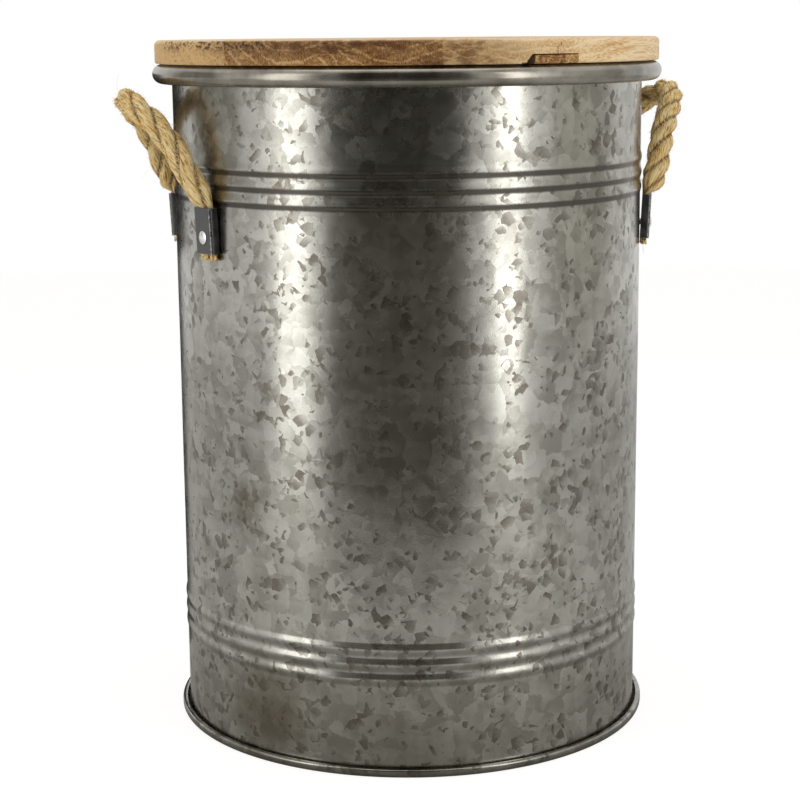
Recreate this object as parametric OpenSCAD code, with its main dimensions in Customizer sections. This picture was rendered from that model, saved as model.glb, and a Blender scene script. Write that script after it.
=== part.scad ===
// Pellet bucket: a rolled galvanised wall on a seamed bottom, with two rope handles
// held in riveted steel clamps and a round lid of planks on two let-in battens.
// +Z is up, the origin is the middle of the bottom, and the handles lie on the X axis.

/* [Body] */
// Outside radius of the wall
body_r = 150; // [130:1:180]
// Height from the floor to the top of the rim
bucket_h = 424; // [400:1:480]
// Thickness of the galvanised sheet
sheet_t = 0.8; // [0.6:0.1:1.2]
// Width of the lock seam down the back
seam_w = 8; // [6:1:14]
// How far the lock seam stands out from the wall
seam_rise = 0.7; // [0.5:0.1:1]

/* [Swaged rings] */
// Number of rings in each band
ring_count = 3; // [1:1:4]
// Height of one ring
ring_h = 9.4; // [6:0.1:11]
// How far a ring stands out from the wall
ring_rise = 0.8; // [0.4:0.1:1.4]
// Distance from the top of the rim down to the upper band
upper_band_drop = 55.3; // [40:0.1:90]
// Height of the top of the lower band above the floor
lower_band_z = 83.5; // [60:0.5:140]

/* [Rim] */
// Outside diameter of the rolled rim
rim_d = 12; // [8:0.5:16]
// Space between the wall and the roll
rim_gap = 0.3; // [0.1:0.1:1]
// Depth of the leg that hooks down inside the wall
rim_leg_h = 11; // [8:1:20]

/* [Bottom seam] */
// Height of the folded hem that the bucket stands on
hem_h = 5; // [4:0.5:9]
// How far the hem stands out from the wall
hem_out = 5.1; // [3.5:0.1:8]
// Width of the lip that is folded in over the wall's flange
hem_lip = 3.2; // [1.5:0.1:3.3]
// Height of the bottom panel above the floor
panel_z = 9; // [8:0.5:20]

/* [Rope handles] */
// Diameter of the rope
rope_d = 15; // [12:1:18]
// Lean of the left handle from upright, as it rests
left_lean = 31.5; // [22:0.5:80]
// Lean of the right handle from upright, as it rests
right_lean = 31; // [22:0.5:80]
// Clearance of a handle over its clamps and beside the rings
handle_clear = 0.4; // [0.3:0.1:1.5]

/* [Clamps] */
// Width of a clamp along the wall
clamp_w = 17.8; // [15:0.1:22]
// Height of a clamp
clamp_h = 28; // [24:1:40]
// Depth of a clamp away from the wall
clamp_depth = 5.9; // [5:0.1:7]
// Thickness of the clamp's steel
clamp_t = 1.3; // [1:0.1:1.6]
// Outside radius of the clamp's bends
clamp_bend_r = 1.8; // [1.7:0.1:3.5]
// Gap between a clamp's legs and the wall at the clamp's lower end
clamp_gap = 0.1; // [0.1:0.1:1.5]
// Lean of a clamp away from the wall towards its top
clamp_lean = 2.7; // [0:0.1:4]
// Space between the top of a clamp and the band of rings above it
clamp_under_band = 0.4; // [0.4:0.1:20]
// Length of cut rope that shows under a clamp
rope_tail = 3.5; // [2:0.5:8]

/* [Rivets] */
// Diameter of a rivet's shank
rivet_d = 4; // [3:0.5:5]
// Diameter of a rivet's domed head
rivet_head_d = 8; // [6:0.5:10]
// Height of the domed head
rivet_head_h = 1; // [0.6:0.1:3]
// Height of a rivet above the bottom of its clamp
rivet_up = 10; // [8:1:14]
// Radial clearance of a rivet in its holes
rivet_clear = 0.2; // [0.1:0.05:0.4]
// Diameter of the flat washer inside the bucket
washer_d = 12; // [9:0.5:16]
// Thickness of the washer
washer_t = 1; // [0.6:0.1:2]
// Diameter of the closed end of a rivet
rivet_tail_d = 6.4; // [5.5:0.1:8]
// Height of the closed end of a rivet
rivet_tail_h = 1.8; // [1:0.1:3]

/* [Lid] */
// Radius of the lid
lid_r = 160.5; // [158:0.5:166]
// Thickness of the lid
lid_t = 14.4; // [12:0.1:22]
// Radius of the lid's rounded top edge
lid_round = 3.3; // [1:0.1:4]
// Width of the small chamfer round the lid's bottom edge
lid_chamfer = 0.8; // [0.3:0.1:2]
// Gap between the rim and the lid
lid_gap = 0.5; // [0.3:0.1:1]
// Number of planks glued side by side
plank_count = 5; // [3:1:6]
// Direction of the grain, counted from the X axis
grain_angle = 45; // [0:5:180]

/* [Battens] */
// Width of the groove that is cut across the planks for a batten
groove_w = 29; // [24:0.5:32]
// Depth of that groove
groove_depth = 5.5; // [4:0.1:7]
// Distance of a groove from the middle of the lid
groove_offset = 75; // [60:1:85]
// Width of a batten
batten_w = 18; // [14:0.5:20]
// Open slot between a batten and the outer side of its groove
batten_slot = 1.7; // [0.5:0.1:3]
// How far a batten stands down inside the mouth
batten_drop = 8; // [4:1:14]
// Clearance of a batten inside the mouth
batten_clear = 2; // [1.5:0.5:6]
// Diameter of a screw's shank
screw_d = 3.5; // [3:0.5:4]
// Diameter of a screw's head
screw_head_d = 7; // [5.5:0.5:8]
// Length of a screw
screw_len = 18; // [15:0.5:19]
// Radial clearance of a screw in its hole
screw_clear = 0.1; // [0.05:0.05:0.2]

/* [Hidden] */
SIDES = ["left", "right"];
ENDS = ["front", "back"];
$fn = 96;

// Route of one rope handle from a clamp to its top, as [half width, height in its own plane,
// sag out of that plane towards the bucket]. The other half mirrors it.
HANDLE_ROUTE = [
    [60.6, 0, 0], [58.2, 7, 0.8], [54, 15, 2.2], [48.7, 24, 3.7], [43.2, 32, 4.4], [37.2, 40, 4.2],
    [31, 47, 3.4], [24.5, 53, 2.4], [17.7, 58, 1.3], [10, 62, 0.4], [0, 63.8, 0]
];
rope_sides = 12;
cap_steps = [75, 50, 25];

// Clearance between two folded or seated sheets
fold_clear = 0.1;
// Bend radius on the outside of a folded sheet
fold_r = 1.3;
// Facets of a fold
fold_steps = 4;
// Facets of one ring, from its top to its bottom
ring_steps = 8;
// Roundness of a pressed rope's edges, as a part of its thickness
pad_roundness = 0.45;
// Extra depth of a screw's cone over a cone of 45 degrees
cone_extra = 0.6;
// Least distance of a screw from the end of a batten's shoulder
screw_edge = 9;
// Clearance of a batten or wedge in its groove
groove_fit = 0.1;
// Amount by which a cut runs past the solid it is cut from
past = 1;

inner_r = body_r - sheet_t;
mouth_r = inner_r - fold_clear - sheet_t;
band_h = ring_count * ring_h;
upper_band_z = bucket_h - upper_band_drop;
rim_r = body_r + rim_gap + rim_d / 2;
rim_z = bucket_h - rim_d / 2;
wall_top_z = bucket_h - sheet_t - fold_clear;
hem_r = body_r + hem_out;
flange_r = hem_r - sheet_t - fold_clear;
flange_z = sheet_t + fold_clear;

handle_half = HANDLE_ROUTE[0][0];
rope_line_r = body_r + ring_rise + handle_clear + rope_d / 2;
clamp_angle = asin(handle_half / rope_line_r);
clamp_top_z = upper_band_z - band_h - clamp_under_band;
pivot_x = rope_line_r * cos(clamp_angle);
pivot_z = clamp_top_z + handle_clear + rope_d / 2;

rivet_z = clamp_top_z - clamp_h + rivet_up;
clamp_face_x = clamp_gap + rivet_up * sin(clamp_lean) + clamp_depth;
rope_pad_x = (rivet_up + rope_tail) * sin(clamp_lean) + fold_clear;
rope_pad_w = clamp_w - 2 * clamp_t - 2 * fold_clear;
rope_pad_t = clamp_face_x - clamp_t - fold_clear - rope_pad_x;
rope_pad_r = rope_pad_t * pad_roundness;
head_gap = rivet_head_d / 2 * sin(clamp_lean) + fold_clear / 2;
washer_seat = inner_r - sqrt(pow(inner_r, 2) - pow(washer_d / 2, 2)) + fold_clear / 4;
washer_x = -sheet_t - washer_seat;
rivet_hole_r = rivet_d / 2 + rivet_clear;

lid_z = bucket_h + lid_gap;
plank_w = 2 * lid_r / plank_count;
batten_far_x = groove_offset + groove_w / 2 - batten_slot;
batten_near_x = batten_far_x - batten_w;
wedge_near_x = groove_offset - groove_w / 2 + fold_clear;
batten_mid_x = (batten_far_x + batten_near_x) / 2;
shoulder_half = sqrt(pow(mouth_r - batten_clear, 2) - pow(batten_far_x, 2));
screw_sink = (screw_head_d - screw_d) / 2 + cone_extra;

sheet_grey = "#92918a";
rim_grey = "#7b7873";
clamp_black = "#2b2d31";
rivet_silver = "#dcdcd8";
rope_straw = "#c9a972";
plank_brown = ["#b58a58", "#a87a4a", "#8f6238", "#a97c4c", "#c39c66", "#b08452"];
batten_brown = "#9d6f52";
wedge_brown = "#b8925c";
screw_grey = "#b9b7b0";

function end_sign(end) = end == "front" ? -1 : 1;
function azimuth(side, end) =
    side == "right" ? end_sign(end) * clamp_angle : 180 - end_sign(end) * clamp_angle;

// Points of an arc, counted in degrees from +X
function arc(x, z, r, from, to) = [
    for (i = [0:fold_steps]) let (a = from + (to - from) * i / fold_steps)
        [x + r * cos(a), z + r * sin(a)]
];

// Outline of one band of rings, from its top to its bottom: round waves side by side
function band_points(top_z) = [
    for (i = [0:ring_count * ring_steps])
        [body_r + ring_rise * (1 - cos(360 * i / ring_steps)) / 2, top_z - ring_h * i / ring_steps]
];

// Outline of the wall's outer face, from its top edge down to the bend of its flange
function wall_points() = concat(
    [[body_r, wall_top_z]],
    band_points(upper_band_z),
    band_points(lower_band_z)
);

module wall_section(shift, low_z) {
    outer = wall_points();
    polygon(concat(
        [for (p = outer) [p[0] + shift, p[1]]],
        [[body_r + shift, low_z], [body_r + shift - sheet_t, low_z]],
        [for (i = [len(outer) - 1:-1:0]) [outer[i][0] + shift - sheet_t, outer[i][1]]]
    ));
}

module flange_section() {
    translate([inner_r, flange_z]) square([sheet_t, hem_h + past - flange_z]);
    translate([inner_r, flange_z]) square([flange_r - inner_r, sheet_t]);
}

module body_shell() {
    color(sheet_grey) difference() {
        union() {
            rotate_extrude(convexity = 8) {
                wall_section(0, hem_h + past);
                flange_section();
            }
            lock_seam();
        }
        for (side = SIDES, end = ENDS) at_rivet(side, end) {
            translate([-sheet_t - past, 0, 0]) rotate([0, 90, 0])
                cylinder(r = rivet_hole_r, h = sheet_t + 2 * past);
        }
    }
}

// The folded joint of the sheet, at the back
module lock_seam() {
    half = asin(seam_w / 2 / body_r);
    rotate([0, 0, 90 - half]) rotate_extrude(angle = 2 * half, convexity = 8)
        difference() {
            wall_section(seam_rise, hem_h + 3 * past);
            translate([0, rim_z - rim_d / 2 - past]) square([2 * body_r, rim_d + 2 * past]);
        }
}

// The bottom: a raised panel, a wall down inside the bucket, and a hem folded up and in
// over the bucket's flange.
module base_pan() {
    color(sheet_grey) rotate_extrude(convexity = 8) {
        translate([0, panel_z]) square([inner_r - fold_clear, sheet_t]);
        translate([mouth_r, 0]) square([sheet_t, panel_z + sheet_t]);
        polygon(concat(
            [[mouth_r, 0]],
            arc(hem_r - fold_r, fold_r, fold_r, -90, 0),
            arc(hem_r - fold_r, hem_h - fold_r, fold_r, 0, 90),
            [[hem_r - hem_lip, hem_h], [hem_r - hem_lip, hem_h - sheet_t]],
            arc(hem_r - fold_r, hem_h - fold_r, fold_r - sheet_t, 90, 0),
            arc(hem_r - fold_r, fold_r, fold_r - sheet_t, 0, -90),
            [[mouth_r, sheet_t]]
        ));
    }
}

// The rolled rim, with a leg that hooks over the wall's top edge
module top_rim() {
    color(rim_grey) rotate_extrude(convexity = 8) {
        difference() {
            union() {
                translate([rim_r, rim_z]) circle(d = rim_d);
                translate([mouth_r, bucket_h - sheet_t]) square([rim_r - mouth_r, sheet_t]);
            }
            translate([rim_r, rim_z]) circle(d = rim_d - 2 * sheet_t);
        }
        translate([mouth_r, bucket_h - rim_leg_h]) square([sheet_t, rim_leg_h]);
    }
}

// Puts a piece at a rivet: +X points away from the wall, from the wall's outer face
module at_rivet(side, end) {
    rotate([0, 0, azimuth(side, end)]) translate([body_r, 0, rivet_z]) children();
}

module leaning() {
    translate([clamp_face_x, 0, 0]) rotate([0, clamp_lean, 0]) translate([-clamp_face_x, 0, 0])
        children();
}

// A rectangle from x0 to x1 whose two far corners are round
module round_front(x0, x1, w, r) {
    translate([x0, -w / 2]) square([x1 - x0 - r, w]);
    translate([x0, r - w / 2]) square([x1 - x0, w - 2 * r]);
    for (y = [-1, 1]) translate([x1 - r, y * (w / 2 - r)]) circle(r = r);
}

module clamp(side, end) {
    color(clamp_black) at_rivet(side, end) difference() {
        leaning() translate([0, 0, -rivet_up]) linear_extrude(clamp_h) difference() {
            round_front(clamp_face_x - clamp_depth, clamp_face_x, clamp_w, clamp_bend_r);
            round_front(-past, clamp_face_x - clamp_t, clamp_w - 2 * clamp_t, clamp_bend_r - clamp_t);
        }
        rotate([0, 90, 0]) cylinder(r = rivet_hole_r, h = clamp_face_x + past);
    }
}

module rivet(side, end) {
    dome_r = (pow(rivet_head_d / 2, 2) + pow(rivet_head_h, 2)) / 2 / rivet_head_h;
    shank_x = washer_x - washer_t;
    color(rivet_silver) at_rivet(side, end) rotate([0, 90, 0]) {
        translate([0, 0, clamp_face_x + head_gap]) rotate_extrude() intersection() {
            translate([0, rivet_head_h - dome_r]) circle(r = dome_r);
            square([rivet_head_d / 2, rivet_head_h]);
        }
        translate([0, 0, shank_x]) cylinder(d = rivet_d, h = clamp_face_x + head_gap - shank_x);
        translate([0, 0, shank_x - rivet_tail_h]) cylinder(d = rivet_tail_d, h = rivet_tail_h);
    }
}

module washer(side, end) {
    color(screw_grey) at_rivet(side, end) rotate([0, 90, 0]) difference() {
        translate([0, 0, washer_x - washer_t]) cylinder(d = washer_d, h = washer_t);
        translate([0, 0, washer_x - washer_t - past]) cylinder(r = rivet_hole_r, h = washer_t + 2 * past);
    }
}

// The two ends of one rope, pressed flat in their clamps
module rope_ends(side) {
    color(rope_straw) for (end = ENDS) at_rivet(side, end) difference() {
        leaning() translate([rope_pad_x, 0, -rivet_up - rope_tail]) linear_extrude(clamp_h + rope_tail) {
            translate([0, rope_pad_r - rope_pad_w / 2]) square([rope_pad_t, rope_pad_w - 2 * rope_pad_r]);
            translate([rope_pad_r, -rope_pad_w / 2]) square([rope_pad_t - 2 * rope_pad_r, rope_pad_w]);
            for (x = [rope_pad_r, rope_pad_t - rope_pad_r], y = [-1, 1])
                translate([x, y * (rope_pad_w / 2 - rope_pad_r)]) circle(r = rope_pad_r);
        }
        rotate([0, 90, 0]) cylinder(r = rivet_hole_r, h = clamp_face_x + past);
    }
}

// Stations of the handle's tube, as [half width, height, direction, radius, sag].
// Each end is a ball on the handle's hinge line.
function handle_stations() =
    let (
        half = HANDLE_ROUTE,
        n = len(half) - 1,
        route = concat(half, [for (i = [n - 1:-1:0]) [-half[i][0], half[i][1], half[i][2]]]),
        last = len(route) - 1,
        r = rope_d / 2
    )
    concat(
        [for (a = cap_steps) [route[0][0], -r * sin(a), 90, r * cos(a), 0]],
        [for (i = [0:last]) let (
            before = route[max(i - 1, 0)],
            after = route[min(i + 1, last)],
            turn = i == 0 ? 90 : i == last ? 270 : atan2(after[1] - before[1], after[0] - before[0])
        ) [route[i][0], route[i][1], turn, r, route[i][2]]],
        [for (i = [len(cap_steps) - 1:-1:0])
            [-route[0][0], -r * sin(cap_steps[i]), 270, r * cos(cap_steps[i]), 0]]
    );

function station_ring(s) = [
    for (k = [0:rope_sides - 1]) let (
        a = 360 * k / rope_sides,
        side = s[3] * cos(a)
    ) [s[3] * sin(a) - s[4], s[0] - side * sin(s[2]), s[1] + side * cos(s[2])]
];

module handle_loop() {
    stations = handle_stations();
    n = len(stations);
    polyhedron(
        points = [for (s = stations) each station_ring(s)],
        faces = concat(
            [[for (k = [0:rope_sides - 1]) k]],
            [for (i = [0:n - 2], k = [0:rope_sides - 1]) let (
                a = i * rope_sides + k,
                b = i * rope_sides + (k + 1) % rope_sides
            ) each [[a, a + rope_sides, b], [b, a + rope_sides, b + rope_sides]]],
            [[for (k = [rope_sides - 1:-1:0]) (n - 1) * rope_sides + k]]
        ),
        convexity = 4
    );
}

module rope_handle(side) {
    lean = side == "left" ? left_lean : right_lean;
    color(rope_straw) mirror([side == "left" ? 1 : 0, 0, 0])
        translate([pivot_x, 0, pivot_z]) rotate([0, lean, 0]) handle_loop();
}

// The lid's own frame: X along the grain, Z up from its underside
module on_lid() {
    translate([0, 0, lid_z]) rotate([0, 0, grain_angle]) children();
}

// The turned disc that the planks, battens and wedges end at
module lid_blank(inset) {
    r = lid_r - inset;
    top = lid_t - lid_round;
    rotate_extrude() {
        polygon([[0, 0], [r - lid_chamfer, 0], [r, lid_chamfer], [r, top], [0, top]]);
        square([r - lid_round, lid_t]);
        translate([r - lid_round, top]) circle(r = lid_round);
    }
}

// A bar let into the groove, from near to far across it, and down from the groove's floor
module groove_bar(near, far) {
    intersection() {
        lid_blank(groove_fit);
        translate([near, -lid_r, -past]) cube([far - near, 2 * lid_r, groove_depth - groove_fit + past]);
    }
}

function screw_rows() = [
    for (i = [1:plank_count]) let (y = (i - 0.5) * plank_w - lid_r)
        sign(y) * min(abs(y), shoulder_half - screw_edge)
];

module batten_screw(clear) {
    translate([0, 0, -batten_drop]) {
        cylinder(r1 = screw_head_d / 2 + clear, r2 = screw_d / 2 + clear, h = screw_sink);
        cylinder(r = screw_d / 2 + clear, h = screw_len + clear);
    }
}

module batten_screw_set(clear) {
    for (y = screw_rows()) translate([batten_mid_x, y, 0]) batten_screw(clear);
}

module lid_plank(i) {
    color(plank_brown[(i - 1) % len(plank_brown)]) on_lid() difference() {
        intersection() {
            lid_blank(0);
            translate([-lid_r - past, (i - 1) * plank_w - lid_r, -past])
                cube([2 * (lid_r + past), plank_w, lid_t + 2 * past]);
        }
        for (end = ENDS) mirror([end == "front" ? 1 : 0, 0, 0]) {
            translate([groove_offset - groove_w / 2, -lid_r - past, -past])
                cube([groove_w, 2 * (lid_r + past), groove_depth + past]);
            batten_screw_set(screw_clear);
        }
    }
}

module lid_batten(end) {
    color(batten_brown) on_lid() mirror([end == "front" ? 1 : 0, 0, 0]) difference() {
        union() {
            groove_bar(batten_near_x, batten_far_x);
            translate([batten_near_x, -shoulder_half, -batten_drop])
                cube([batten_w, 2 * shoulder_half, batten_drop]);
        }
        translate([0, 0, -groove_fit]) batten_screw_set(screw_clear);
    }
}

module batten_wedge(end) {
    color(wedge_brown) on_lid() mirror([end == "front" ? 1 : 0, 0, 0])
        groove_bar(wedge_near_x, batten_near_x - fold_clear);
}

module batten_screws(end) {
    color(screw_grey) on_lid() mirror([end == "front" ? 1 : 0, 0, 0]) batten_screw_set(0);
}

body_shell();
base_pan();
top_rim();
for (side = SIDES, end = ENDS) {
    clamp(side, end);
    rivet(side, end);
    washer(side, end);
}
for (side = SIDES) {
    rope_ends(side);
    rope_handle(side);
}
for (i = [1:plank_count]) {
    lid_plank(i);
}
for (end = ENDS) {
    lid_batten(end);
    batten_wedge(end);
    batten_screws(end);
}
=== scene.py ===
"""Looks of a galvanised pellet bucket with rope handles and a plank lid.

Every length is in metres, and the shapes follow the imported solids. Each section below dresses one piece, or
one group of like pieces, in the order in which the bucket is put together, after the camera, the studio and
the ropes.
"""
import math
import random

import bmesh
import bpy
from mathutils import Matrix, Vector, noise


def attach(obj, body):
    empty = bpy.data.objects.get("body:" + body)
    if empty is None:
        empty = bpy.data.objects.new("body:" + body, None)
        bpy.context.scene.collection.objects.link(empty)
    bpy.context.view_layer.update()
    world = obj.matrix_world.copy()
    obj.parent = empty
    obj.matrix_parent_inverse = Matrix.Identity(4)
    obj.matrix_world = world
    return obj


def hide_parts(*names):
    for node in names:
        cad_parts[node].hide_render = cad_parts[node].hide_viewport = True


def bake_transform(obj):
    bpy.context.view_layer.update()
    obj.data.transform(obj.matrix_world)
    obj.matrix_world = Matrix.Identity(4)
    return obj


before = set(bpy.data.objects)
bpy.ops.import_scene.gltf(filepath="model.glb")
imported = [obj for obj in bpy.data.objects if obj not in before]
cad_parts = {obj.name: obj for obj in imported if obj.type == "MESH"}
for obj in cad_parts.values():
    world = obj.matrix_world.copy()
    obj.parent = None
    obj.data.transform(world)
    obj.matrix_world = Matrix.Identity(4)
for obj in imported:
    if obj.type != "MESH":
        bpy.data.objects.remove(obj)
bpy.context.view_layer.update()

# The camera
# It stands where the photographer stood, a little above the lid and in front of the side between the two
# handles. The azimuth turns it about the bucket, and the small yaw and roll level it as the photograph is.
CAMERA_AZIMUTH = math.radians(-15.3)
CAMERA_BACK = 1.2330
CAMERA_HEIGHT = 0.4433
CAMERA_PITCH = 0.19265
CAMERA_YAW = 0.005
CAMERA_ROLL = -0.0086
SENSOR = 36.0
LENS = 85.1

# Places the camera, cards and lamps, which all stand square to the photographer
to_photographer = Matrix.Rotation(CAMERA_AZIMUTH, 4, "Z")

lens = bpy.data.cameras.new("camera")
lens.sensor_width = SENSOR
lens.lens = LENS
camera = bpy.data.objects.new("camera", lens)
camera.matrix_world = (
    to_photographer
    @ Matrix.Translation((0, -CAMERA_BACK, CAMERA_HEIGHT))
    @ Matrix.Rotation(CAMERA_YAW, 4, "Z")
    @ Matrix.Rotation(math.pi / 2 - CAMERA_PITCH, 4, "X")
    @ Matrix.Rotation(CAMERA_ROLL, 4, "Z")
)
bpy.context.scene.collection.objects.link(camera)
bpy.context.scene.camera = camera
bpy.context.scene.view_settings.view_transform = "Standard"

# The studio
# A white floor under the bucket, two tall softboxes, one on each side of the camera, and a wide one overhead.
# The rest shows in bare metal only. A pale board lies on the floor, a dark card stands in front for the dark
# middle of the wall, a board stands on each side, and two narrow black flags edge the wall on the left.
FLOOR_R = 2.4
FLOOR_WHITE, FLOOR_UNLIT = "#f7f5f2", "#9d9b98"
FLOOR_GLOW = 0.82
BOARD_FADE = (0.9, 2.3)
# The board has a painted grey shadow round the bucket's foot, up to this distance
SHADOW_GREY, SHADOW_NEAR = "#d3d1cb", (0.20, 0.42)
BOARD_UP = 0.0003
# Colours of the card, the boards and the flags at three heights
CARD, FLAG = ("#605e53", "#86847a", "#37352c"), ("#15140f", "#191813", "#15140f")
LEFT_BOARD, RIGHT_BOARD = ("#c8c6bf", "#c8c6bf", "#c2c0b9"), ("#f6f4ed", "#f2f0e9", "#efede6")
CARD_HEIGHTS = (0.06, 0.22, 0.35)
# Each one: its middle to the right of and behind the bucket's axis, the height of its foot, its width, its
# height, its turn and its colours
CARDS = {"dark_card": (-0.07, -0.62, 0.0, 0.75, 1.1, 0, CARD),
         "left_board": (-0.93, 0.15, 0.27, 0.62, 0.6, -99, LEFT_BOARD),
         "right_board": (0.95, -0.05, 0.14, 0.66, 0.7, 87, RIGHT_BOARD),
         "low_flag": (-0.194, 0.10, 0.0, 0.056, 0.42, 0, FLAG),
         "high_flag": (-0.238, 0.10, 0.29, 0.075, 0.13, 0, FLAG)}
# How bright the white surroundings are where they are seen, and as light
SKY_SEEN, SKY_FILL = 1.0, 0.42
# Each softbox: azimuth from the camera, distance from the axis, height of its middle, width, height, radiance
SOFTBOXES = {
    "left_softbox": (-52.5, 0.94, 0.50, 0.28, 0.94, 2.45),
    "right_softbox": (45, 0.94, 0.53, 0.185, 0.94, 3.8),
}
TOP_SOFTBOX = (0.0, 0.1, 1.7, 1.5, 1.2, 1.3)


def colour(code):
    """An sRGB hex code as linear red, green, blue and alpha."""
    parts = [int(code[i:i + 2], 16) / 255 for i in (1, 3, 5)]
    return [c / 12.92 if c <= 0.04045 else ((c + 0.055) / 1.055) ** 2.4 for c in parts] + [1.0]


def plug(node, inputs):
    """Links or sets what goes into a node's inputs: a socket, a hex colour or a plain value."""
    for key, value in inputs.items():
        if isinstance(value, bpy.types.NodeSocket):
            node.id_data.links.new(value, node.inputs[key])
        else:
            node.inputs[key].default_value = colour(value) if isinstance(value, str) else value


def add_node(tree, kind, settings=None, inputs=None):
    """Adds a node with its settings and what goes into its inputs."""
    node = tree.nodes.new("ShaderNode" + kind)
    for name, value in (settings or {}).items():
        setattr(node, name, value)
    plug(node, inputs or {})
    return node


def tree_of(*values):
    """The node tree of the sockets among these values."""
    return next(value.id_data for value in values if isinstance(value, bpy.types.NodeSocket))


def maths(operation, a, b=0.0, c=0.0):
    """Arithmetic on up to three numbers."""
    return add_node(tree_of(a, b, c), "Math", {"operation": operation}, {0: a, 1: b, 2: c}).outputs[0]


def product(*values):
    """All the numbers multiplied together."""
    result = values[0]
    for value in values[1:]:
        result = maths("MULTIPLY", result, value)
    return result


def plus(base, value, share):
    """The base, plus that share of the value."""
    return maths("MULTIPLY_ADD", value, share, base)


def vector(operation, a, b=(0, 0, 0), c=(0, 0, 0)):
    """Arithmetic on up to three vectors, whose result is output 0 or, where it is a number, output 1."""
    return add_node(tree_of(a, b, c), "VectorMath", {"operation": operation}, {0: a, 1: b, 2: c}).outputs


def scaled(value, low, high, to_low=0.0, to_high=1.0, kind="LINEAR"):
    """The value carried from one range to another, and held at its ends."""
    return add_node(tree_of(value), "MapRange", {"interpolation_type": kind}, {
        "Value": value, "From Min": low, "From Max": high, "To Min": to_low, "To Max": to_high}).outputs[0]


def between(value, low, high, to_low=0.0, to_high=1.0):
    """The same, but it starts and ends smoothly."""
    return scaled(value, low, high, to_low, to_high, "SMOOTHSTEP")


def ramp(value, *stops):
    """The colour at that value, between stops of a value and a hex code each."""
    node = add_node(tree_of(value), "ValToRGB", {}, {"Fac": value})
    elements = node.color_ramp.elements
    for i, (place, code) in enumerate(stops):
        element = elements[i] if i < 2 else elements.new(place)
        element.position = place
        element.color = colour(code)
    return node.outputs["Color"]


def mixed(factor, a, b):
    """Two colours, mixed by the factor."""
    return add_node(tree_of(factor, a, b), "Mix", {"data_type": "RGBA"}, {0: factor, 6: a, 7: b}).outputs[2]


def part_of(where, i):
    """One of a vector's three numbers."""
    return add_node(tree_of(where), "SeparateXYZ", {}, {0: where}).outputs[i]


def object_place(tree):
    """The point's place on the object."""
    return add_node(tree, "TexCoord").outputs["Object"]


def new_material(name, settings):
    """A material with a Principled shader whose plain inputs are set."""
    material = bpy.data.materials.new(name)
    material.use_nodes = True
    shader = material.node_tree.nodes["Principled BSDF"]
    plug(shader, settings)
    return material, material.node_tree, shader


def mesh_object(bm, name, material=None):
    """Turns a bmesh into an object at the origin."""
    mesh = bpy.data.meshes.new(name)
    bm.to_mesh(mesh)
    bm.free()
    piece = bpy.data.objects.new(name, mesh)
    bpy.context.scene.collection.objects.link(piece)
    if material:
        mesh.materials.append(material)
    return piece


def move(bm, matrix):
    """Moves and turns everything in a bmesh."""
    bmesh.ops.transform(bm, matrix=matrix, verts=bm.verts)


def background_rays(tree):
    """1 for the rays that show the background: the camera's own, and those that metal or glass sends on."""
    path = add_node(tree, "LightPath").outputs
    seen = maths("MAXIMUM", path["Is Camera Ray"], path["Is Glossy Ray"])
    return maths("MAXIMUM", seen, path["Is Transmission Ray"])


def white_floor():
    """White acrylic, lit from below where the camera looks, so that only the bucket's shadow shows on it."""
    material, tree, shader = new_material("white_acrylic", {
        "Roughness": 0.9, "Specular IOR Level": 0.1, "Emission Color": "#ffffff"})
    seen = background_rays(tree)
    plug(shader, {"Base Color": mixed(seen, FLOOR_WHITE, FLOOR_UNLIT),
                  "Emission Strength": product(seen, FLOOR_GLOW)})
    material.cycles.emission_sampling = "NONE"
    return material


def pale_board():
    """Matt white board with a painted grey shadow round the bucket's foot; the board fades out with distance.
    """
    material, tree, shader = new_material("matt_white_board", {"Roughness": 0.9, "Specular IOR Level": 0.1})
    reach = vector("LENGTH", object_place(tree))["Value"]
    plug(shader, {"Base Color": ramp(reach, (SHADOW_NEAR[0], SHADOW_GREY), (SHADOW_NEAR[1], FLOOR_WHITE))})
    clear = add_node(tree, "BsdfTransparent").outputs[0]
    fading = add_node(tree, "MixShader", {}, {0: between(reach, *BOARD_FADE), 1: shader.outputs[0], 2: clear})
    plug(tree.nodes["Material Output"], {"Surface": fading.outputs[0]})
    return material


def matt_card(name, codes):
    """Matt painted board, shaded along its height."""
    material, tree, shader = new_material(name, {"Roughness": 0.9})
    plug(shader, {"Base Color": ramp(part_of(object_place(tree), 2), *zip(CARD_HEIGHTS, codes))})
    return material


def only_in_metal(piece):
    """Leaves a card or board to be seen in reflections alone."""
    piece.visible_camera = False
    piece.visible_diffuse = False
    piece.visible_transmission = False
    piece.visible_shadow = False


def round_sheet(name, material, up):
    """A flat disc on the floor."""
    bm = bmesh.new()
    bmesh.ops.create_circle(bm, cap_ends=True, segments=96, radius=FLOOR_R)
    move(bm, Matrix.Translation((0, 0, up)))
    return mesh_object(bm, name, material)


round_sheet("floor", white_floor(), 0)
only_in_metal(round_sheet("pale_board", pale_board(), BOARD_UP))

for name, (x, y, foot, width, tall, turn, codes) in CARDS.items():
    bm = bmesh.new()
    bmesh.ops.create_grid(bm, x_segments=1, y_segments=1, size=0.5)
    bmesh.ops.scale(bm, vec=(width, tall, 1), verts=bm.verts)
    stand = Matrix.Translation((x, y, foot + tall / 2)) @ Matrix.Rotation(math.radians(turn), 4, "Z")
    move(bm, to_photographer @ stand @ Matrix.Rotation(math.pi / 2, 4, "X"))
    only_in_metal(mesh_object(bm, name, matt_card(f"matt_{name}", codes)))


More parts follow.
